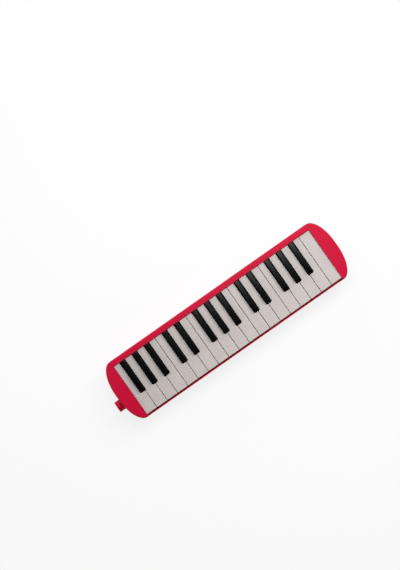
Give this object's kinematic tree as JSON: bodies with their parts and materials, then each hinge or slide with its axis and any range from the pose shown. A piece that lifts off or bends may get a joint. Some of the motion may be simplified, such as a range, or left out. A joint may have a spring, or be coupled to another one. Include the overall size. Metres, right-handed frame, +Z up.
{
  "type": "melodica",
  "caption": "Breath-blown reed keyboard in a rounded two-shell plastic case, with sprung piano keys, an end socket for a mouthpiece and a drain valve underneath.",
  "frame": {"origin": "centre of the flat base, midway between the two end caps and between the front and the rear of the case", "axes": "+X along the keyboard towards the high notes, +Y away from the player, +Z up out of the keys"},
  "size_m": [0.4318, 0.1054, 0.0501],
  "materials": {
    "case_red": "glossy moulded red",
    "key_white": "satin off-white",
    "key_black": "glossy black",
    "chest_plastic": "matte moulded",
    "reed_brass": "rolled sheet",
    "steel": "plain",
    "seal_rubber": "soft matte",
    "felt": "pressed felt"
  },
  "bodies": {
    "case": {"lower_case": "case_red", "upper_cover": "case_red", "mouthpiece_socket": "case_red", "chamber_tray": "chest_plastic", "chamber_gasket": "seal_rubber", "reed_block": "chest_plastic", "reed_plate_low": "reed_brass", "reed_plate_high": "reed_brass", "socket_seal": "seal_rubber", "key_axle": "steel", "spring_comb": "steel", "key_stop_felt": "felt", "drain_spring": "steel", "case_screw_1": "steel", "case_screw_2": "steel", "case_screw_3": "steel", "case_screw_4": "steel", "case_screw_5": "steel", "case_screw_6": "steel", "case_screw_7": "steel", "case_screw_8": "steel", "chest_screw_1": "steel", "chest_screw_2": "steel", "chest_screw_3": "steel", "chest_screw_4": "steel"},
    "drain_valve": {"drain_button": "case_red", "drain_seal": "seal_rubber"},
    "key_F3": {"key_F3": "key_white"},
    "key_Fsharp3": {"key_Fsharp3": "key_black"},
    "key_G3": {"key_G3": "key_white"},
    "key_Gsharp3": {"key_Gsharp3": "key_black"},
    "key_A3": {"key_A3": "key_white"},
    "key_Asharp3": {"key_Asharp3": "key_black"},
    "key_B3": {"key_B3": "key_white"},
    "key_C4": {"key_C4": "key_white"},
    "key_Csharp4": {"key_Csharp4": "key_black"},
    "key_D4": {"key_D4": "key_white"},
    "key_Dsharp4": {"key_Dsharp4": "key_black"},
    "key_E4": {"key_E4": "key_white"},
    "key_F4": {"key_F4": "key_white"},
    "key_Fsharp4": {"key_Fsharp4": "key_black"},
    "key_G4": {"key_G4": "key_white"},
    "key_Gsharp4": {"key_Gsharp4": "key_black"},
    "key_A4": {"key_A4": "key_white"},
    "key_Asharp4": {"key_Asharp4": "key_black"},
    "key_B4": {"key_B4": "key_white"},
    "key_C5": {"key_C5": "key_white"},
    "key_Csharp5": {"key_Csharp5": "key_black"},
    "key_D5": {"key_D5": "key_white"},
    "key_Dsharp5": {"key_Dsharp5": "key_black"},
    "key_E5": {"key_E5": "key_white"},
    "key_F5": {"key_F5": "key_white"},
    "key_Fsharp5": {"key_Fsharp5": "key_black"},
    "key_G5": {"key_G5": "key_white"},
    "key_Gsharp5": {"key_Gsharp5": "key_black"},
    "key_A5": {"key_A5": "key_white"},
    "key_Asharp5": {"key_Asharp5": "key_black"},
    "key_B5": {"key_B5": "key_white"},
    "key_C6": {"key_C6": "key_white"}
  },
  "joints": [
    {"name": "key_F3_press", "type": "hinge", "parent": "case", "child": "key_F3", "pos_m": [-0.1824, 0.0231, 0.0323], "axis": [1, 0, 0], "range_deg": [0, 4], "stiffness_Nm_per_rad": 0.15, "springref_deg": -14.32, "deforming": ["spring_comb"]},
    {"name": "key_Fsharp3_press", "type": "hinge", "parent": "case", "child": "key_Fsharp3", "pos_m": [-0.1717, 0.0231, 0.0323], "axis": [1, 0, 0], "range_deg": [0, 4], "stiffness_Nm_per_rad": 0.15, "springref_deg": -14.32, "deforming": ["spring_comb"]},
    {"name": "key_G3_press", "type": "hinge", "parent": "case", "child": "key_G3", "pos_m": [-0.1601, 0.0231, 0.0323], "axis": [1, 0, 0], "range_deg": [0, 4], "stiffness_Nm_per_rad": 0.15, "springref_deg": -14.32, "deforming": ["spring_comb"]},
    {"name": "key_Gsharp3_press", "type": "hinge", "parent": "case", "child": "key_Gsharp3", "pos_m": [-0.1485, 0.0231, 0.0323], "axis": [1, 0, 0], "range_deg": [0, 4], "stiffness_Nm_per_rad": 0.15, "springref_deg": -14.32, "deforming": ["spring_comb"]},
    {"name": "key_A3_press", "type": "hinge", "parent": "case", "child": "key_A3", "pos_m": [-0.1369, 0.0231, 0.0323], "axis": [1, 0, 0], "range_deg": [0, 4], "stiffness_Nm_per_rad": 0.15, "springref_deg": -14.32, "deforming": ["spring_comb"]},
    {"name": "key_Asharp3_press", "type": "hinge", "parent": "case", "child": "key_Asharp3", "pos_m": [-0.1253, 0.0231, 0.0323], "axis": [1, 0, 0], "range_deg": [0, 4], "stiffness_Nm_per_rad": 0.15, "springref_deg": -14.32, "deforming": ["spring_comb"]},
    {"name": "key_B3_press", "type": "hinge", "parent": "case", "child": "key_B3", "pos_m": [-0.1146, 0.0231, 0.0323], "axis": [1, 0, 0], "range_deg": [0, 4], "stiffness_Nm_per_rad": 0.15, "springref_deg": -14.32, "deforming": ["spring_comb"]},
    {"name": "key_C4_press", "type": "hinge", "parent": "case", "child": "key_C4", "pos_m": [-0.1024, 0.0231, 0.0323], "axis": [1, 0, 0], "range_deg": [0, 4], "stiffness_Nm_per_rad": 0.15, "springref_deg": -14.32, "deforming": ["spring_comb"]},
    {"name": "key_Csharp4_press", "type": "hinge", "parent": "case", "child": "key_Csharp4", "pos_m": [-0.0909, 0.0231, 0.0323], "axis": [1, 0, 0], "range_deg": [0, 4], "stiffness_Nm_per_rad": 0.15, "springref_deg": -14.32, "deforming": ["spring_comb"]},
    {"name": "key_D4_press", "type": "hinge", "parent": "case", "child": "key_D4", "pos_m": [-0.0792, 0.0231, 0.0323], "axis": [1, 0, 0], "range_deg": [0, 4], "stiffness_Nm_per_rad": 0.15, "springref_deg": -14.32, "deforming": ["spring_comb"]},
    {"name": "key_Dsharp4_press", "type": "hinge", "parent": "case", "child": "key_Dsharp4", "pos_m": [-0.0675, 0.0231, 0.0323], "axis": [1, 0, 0], "range_deg": [0, 4], "stiffness_Nm_per_rad": 0.15, "springref_deg": -14.32, "deforming": ["spring_comb"]},
    {"name": "key_E4_press", "type": "hinge", "parent": "case", "child": "key_E4", "pos_m": [-0.056, 0.0231, 0.0323], "axis": [1, 0, 0], "range_deg": [0, 4], "stiffness_Nm_per_rad": 0.15, "springref_deg": -14.32, "deforming": ["spring_comb"]},
    {"name": "key_F4_press", "type": "hinge", "parent": "case", "child": "key_F4", "pos_m": [-0.0438, 0.0231, 0.0323], "axis": [1, 0, 0], "range_deg": [0, 4], "stiffness_Nm_per_rad": 0.15, "springref_deg": -14.32, "deforming": ["spring_comb"]},
    {"name": "key_Fsharp4_press", "type": "hinge", "parent": "case", "child": "key_Fsharp4", "pos_m": [-0.0331, 0.0231, 0.0323], "axis": [1, 0, 0], "range_deg": [0, 4], "stiffness_Nm_per_rad": 0.15, "springref_deg": -14.32, "deforming": ["spring_comb"]},
    {"name": "key_G4_press", "type": "hinge", "parent": "case", "child": "key_G4", "pos_m": [-0.0215, 0.0231, 0.0323], "axis": [1, 0, 0], "range_deg": [0, 4], "stiffness_Nm_per_rad": 0.15, "springref_deg": -14.32, "deforming": ["spring_comb"]},
    {"name": "key_Gsharp4_press", "type": "hinge", "parent": "case", "child": "key_Gsharp4", "pos_m": [-0.0099, 0.0231, 0.0323], "axis": [1, 0, 0], "range_deg": [0, 4], "stiffness_Nm_per_rad": 0.15, "springref_deg": -14.32, "deforming": ["spring_comb"]},
    {"name": "key_A4_press", "type": "hinge", "parent": "case", "child": "key_A4", "pos_m": [0.0017, 0.0231, 0.0323], "axis": [1, 0, 0], "range_deg": [0, 4], "stiffness_Nm_per_rad": 0.15, "springref_deg": -14.32, "deforming": ["spring_comb"]},
    {"name": "key_Asharp4_press", "type": "hinge", "parent": "case", "child": "key_Asharp4", "pos_m": [0.0133, 0.0231, 0.0323], "axis": [1, 0, 0], "range_deg": [0, 4], "stiffness_Nm_per_rad": 0.15, "springref_deg": -14.32, "deforming": ["spring_comb"]},
    {"name": "key_B4_press", "type": "hinge", "parent": "case", "child": "key_B4", "pos_m": [0.024, 0.0231, 0.0323], "axis": [1, 0, 0], "range_deg": [0, 4], "stiffness_Nm_per_rad": 0.15, "springref_deg": -14.32, "deforming": ["spring_comb"]},
    {"name": "key_C5_press", "type": "hinge", "parent": "case", "child": "key_C5", "pos_m": [0.0362, 0.0231, 0.0323], "axis": [1, 0, 0], "range_deg": [0, 4], "stiffness_Nm_per_rad": 0.15, "springref_deg": -14.32, "deforming": ["spring_comb"]},
    {"name": "key_Csharp5_press", "type": "hinge", "parent": "case", "child": "key_Csharp5", "pos_m": [0.0477, 0.0231, 0.0323], "axis": [1, 0, 0], "range_deg": [0, 4], "stiffness_Nm_per_rad": 0.15, "springref_deg": -14.32, "deforming": ["spring_comb"]},
    {"name": "key_D5_press", "type": "hinge", "parent": "case", "child": "key_D5", "pos_m": [0.0594, 0.0231, 0.0323], "axis": [1, 0, 0], "range_deg": [0, 4], "stiffness_Nm_per_rad": 0.15, "springref_deg": -14.32, "deforming": ["spring_comb"]},
    {"name": "key_Dsharp5_press", "type": "hinge", "parent": "case", "child": "key_Dsharp5", "pos_m": [0.0711, 0.0231, 0.0323], "axis": [1, 0, 0], "range_deg": [0, 4], "stiffness_Nm_per_rad": 0.15, "springref_deg": -14.32, "deforming": ["spring_comb"]},
    {"name": "key_E5_press", "type": "hinge", "parent": "case", "child": "key_E5", "pos_m": [0.0826, 0.0231, 0.0323], "axis": [1, 0, 0], "range_deg": [0, 4], "stiffness_Nm_per_rad": 0.15, "springref_deg": -14.32, "deforming": ["spring_comb"]},
    {"name": "key_F5_press", "type": "hinge", "parent": "case", "child": "key_F5", "pos_m": [0.0948, 0.0231, 0.0323], "axis": [1, 0, 0], "range_deg": [0, 4], "stiffness_Nm_per_rad": 0.15, "springref_deg": -14.32, "deforming": ["spring_comb"]},
    {"name": "key_Fsharp5_press", "type": "hinge", "parent": "case", "child": "key_Fsharp5", "pos_m": [0.1055, 0.0231, 0.0323], "axis": [1, 0, 0], "range_deg": [0, 4], "stiffness_Nm_per_rad": 0.15, "springref_deg": -14.32, "deforming": ["spring_comb"]},
    {"name": "key_G5_press", "type": "hinge", "parent": "case", "child": "key_G5", "pos_m": [0.1171, 0.0231, 0.0323], "axis": [1, 0, 0], "range_deg": [0, 4], "stiffness_Nm_per_rad": 0.15, "springref_deg": -14.32, "deforming": ["spring_comb"]},
    {"name": "key_Gsharp5_press", "type": "hinge", "parent": "case", "child": "key_Gsharp5", "pos_m": [0.1287, 0.0231, 0.0323], "axis": [1, 0, 0], "range_deg": [0, 4], "stiffness_Nm_per_rad": 0.15, "springref_deg": -14.32, "deforming": ["spring_comb"]},
    {"name": "key_A5_press", "type": "hinge", "parent": "case", "child": "key_A5", "pos_m": [0.1403, 0.0231, 0.0323], "axis": [1, 0, 0], "range_deg": [0, 4], "stiffness_Nm_per_rad": 0.15, "springref_deg": -14.32, "deforming": ["spring_comb"]},
    {"name": "key_Asharp5_press", "type": "hinge", "parent": "case", "child": "key_Asharp5", "pos_m": [0.1519, 0.0231, 0.0323], "axis": [1, 0, 0], "range_deg": [0, 4], "stiffness_Nm_per_rad": 0.15, "springref_deg": -14.32, "deforming": ["spring_comb"]},
    {"name": "key_B5_press", "type": "hinge", "parent": "case", "child": "key_B5", "pos_m": [0.1626, 0.0231, 0.0323], "axis": [1, 0, 0], "range_deg": [0, 4], "stiffness_Nm_per_rad": 0.15, "springref_deg": -14.32, "deforming": ["spring_comb"]},
    {"name": "key_C6_press", "type": "hinge", "parent": "case", "child": "key_C6", "pos_m": [0.1782, 0.0231, 0.0323], "axis": [1, 0, 0], "range_deg": [0, 4], "stiffness_Nm_per_rad": 0.15, "springref_deg": -14.32, "deforming": ["spring_comb"]},
    {"name": "drain_push", "type": "slide", "parent": "case", "child": "drain_valve", "axis": [0, 0, 1], "range_m": [0, 0.0015], "stiffness_N_per_m": 300, "springref_m": -0.003, "deforming": ["drain_spring"]}
  ]
}
